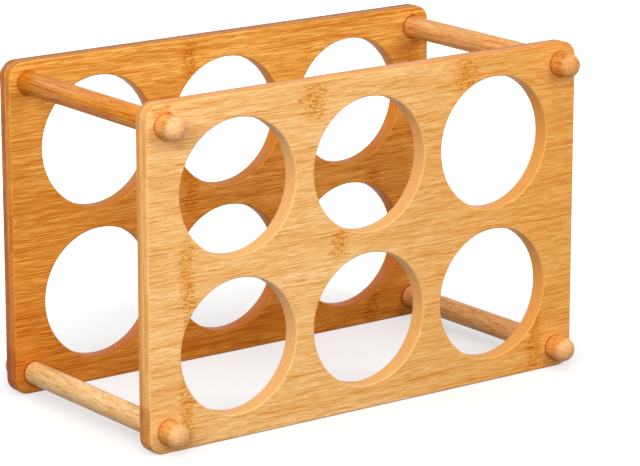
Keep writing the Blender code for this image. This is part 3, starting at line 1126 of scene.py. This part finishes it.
METALS = {
    "stud": metal_material("stud_steel", (0.62, 0.62, 0.6), 0.32, 0.001, 0.00015),
    "insert": metal_material("insert_brass", (0.57, 0.37, 0.11), 0.35, 0.0004, 0.00003),
}
for kind, metal in METALS.items():
    pieces = [obj for node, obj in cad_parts.items() if node.startswith(kind)]
    for piece in pieces:
        for material_slot in piece.material_slots:
            material_slot.material = metal
    print(f"{len(pieces)} pieces of {metal.name}")

# %% [markdown]
# ## Floor and background
#
# The rack stands on a white sweep. The floor is matt and keeps the soft shadow of
# the boards. For rays that are seen it also glows, more so farther from the rack,
# so that it melts into the white world, and no extra light falls on the wood. The
# weaker glow near the rack is a painted shade round it.

# %% White floor
FLOOR_REACH = 6.0
# The glow near the rack is lower, which paints a soft shade round it
GLOW_NEAR_SHADED, GLOW_FAR = 0.48, 1.0
SHADE_NEAR_REACH, FAR_REACH = 0.12, 0.42
FLOOR_WHITE, FLOOR_BOUNCE = 0.5, 0.18


def seen_ray(w):
    """1 for rays from the camera and those mirrored or bent on their way."""
    path = w.node("ShaderNodeLightPath").outputs
    return w.most(*[path[f"Is {ray} Ray"] for ray in ("Camera", "Glossy", "Transmission")])


floor_material, w, _ = new_material("white_floor")
w.tree.nodes.clear()
seen = seen_ray(w)
white = w.blend(seen, [FLOOR_BOUNCE] * 3, [FLOOR_WHITE] * 3)
matt = w.add("ShaderNodeBsdfDiffuse", {"Color": white})
distance = w.length(w.coordinate("Object"))
# Less glow near the rack paints a soft shade round it
glow = w.ease(distance, SHADE_NEAR_REACH, FAR_REACH, GLOW_NEAR_SHADED, GLOW_FAR)
glow = w.add("ShaderNodeEmission", {"Color": WHITE, "Strength": w.times(seen, glow)})
both = w.add("ShaderNodeAddShader", {0: matt, 1: glow})
w.node("ShaderNodeOutputMaterial", {"Surface": both})

floor_mesh = bpy.data.meshes.new("floor")
floor_mesh.from_pydata([(x * FLOOR_REACH, y * FLOOR_REACH, cad_low[2])
                        for x, y in ((-1, -1), (1, -1), (1, 1), (-1, 1))],
                       [], [(0, 1, 2, 3)])
floor_mesh.materials.append(floor_material)
floor = put_in_scene("floor", floor_mesh)
print("floor at", cad_low[2])

# %% White world, brighter above than at the height of the rack
LIGHT_AROUND, LIGHT_ABOVE = 0.2, 0.56

world = bpy.data.worlds.new("studio")
world.use_nodes = True
bpy.context.scene.world = world
w = Wiring(world.node_tree)
upward = w.parts(w.coordinate("Generated"))[2]
room = w.ramp(upward, 0.0, 1.0, LIGHT_AROUND, LIGHT_ABOVE)
w.feed_all(world.node_tree.nodes["Background"].inputs, {
    "Color": WHITE, "Strength": w.choose(seen_ray(w), room, 1.0)})
print("world:", world.name)

# %% [markdown]
# ## Light
#
# The picture was lit by large soft lamps. Two in front light the rack's face and lay
# a shadow under each knob, one on the left opens the narrow sides, one above lights
# the tops of the rods, and a weak one behind keeps the back from going dark.

# %% Lamps
rack_middle = (Vector(cad_low) + Vector(cad_high)) / 2


def add_lamp(name, place, size, power):
    """A soft square lamp at a place, aimed at the rack."""
    lamp = bpy.data.lights.new(name, "AREA")
    lamp.shape = "SQUARE"
    lamp.size = size
    lamp.energy = power
    obj = put_in_scene(name, lamp)
    obj.location = place
    direction = rack_middle - Vector(place)
    obj.rotation_euler = direction.to_track_quat("-Z", "Y").to_euler()


add_lamp("softbox_front_left", (-1.0, -1.5, 1.3), 0.7, 12.6)
add_lamp("softbox_front_right", (0.55, -1.7, 1.0), 0.7, 10.8)
add_lamp("softbox_above", (0.0, -0.4, 1.6), 0.8, 4.2)
add_lamp("softbox_left", (-1.5, -0.85, 0.95), 0.8, 16.4)
add_lamp("softbox_behind", (-0.4, 1.9, 1.1), 0.9, 8.0)

# %% [markdown]
# ## Camera
#
# The picture was taken with a long lens from the left, a little above the rack.
# Angles, distance and lens come from fitting the edges of holes, boards and rods.

# %% Camera at the photograph's angle
CAMERA_TURN = math.radians(-36.578)
CAMERA_RISE = math.radians(14.591)
CAMERA_AIM = Vector((0.00142, -0.02805, 0.10183))
CAMERA_DISTANCE = 2.1274
CAMERA_LENS = 189.5

turn = Euler((QUARTER - CAMERA_RISE, 0.0, CAMERA_TURN)).to_matrix().to_4x4()
backwards = turn @ Vector((0.0, 0.0, CAMERA_DISTANCE))
camera_data = bpy.data.cameras.new("camera")
camera_data.sensor_width = 36.0
camera_data.sensor_fit = "HORIZONTAL"
camera_data.lens = CAMERA_LENS
camera = put_in_scene("camera", camera_data)
camera.matrix_world = Matrix.Translation(CAMERA_AIM + backwards) @ turn
bpy.context.scene.camera = camera
bpy.context.scene.view_settings.view_transform = "Standard"
print("camera at", [round(part, 3) for part in camera.matrix_world.translation])
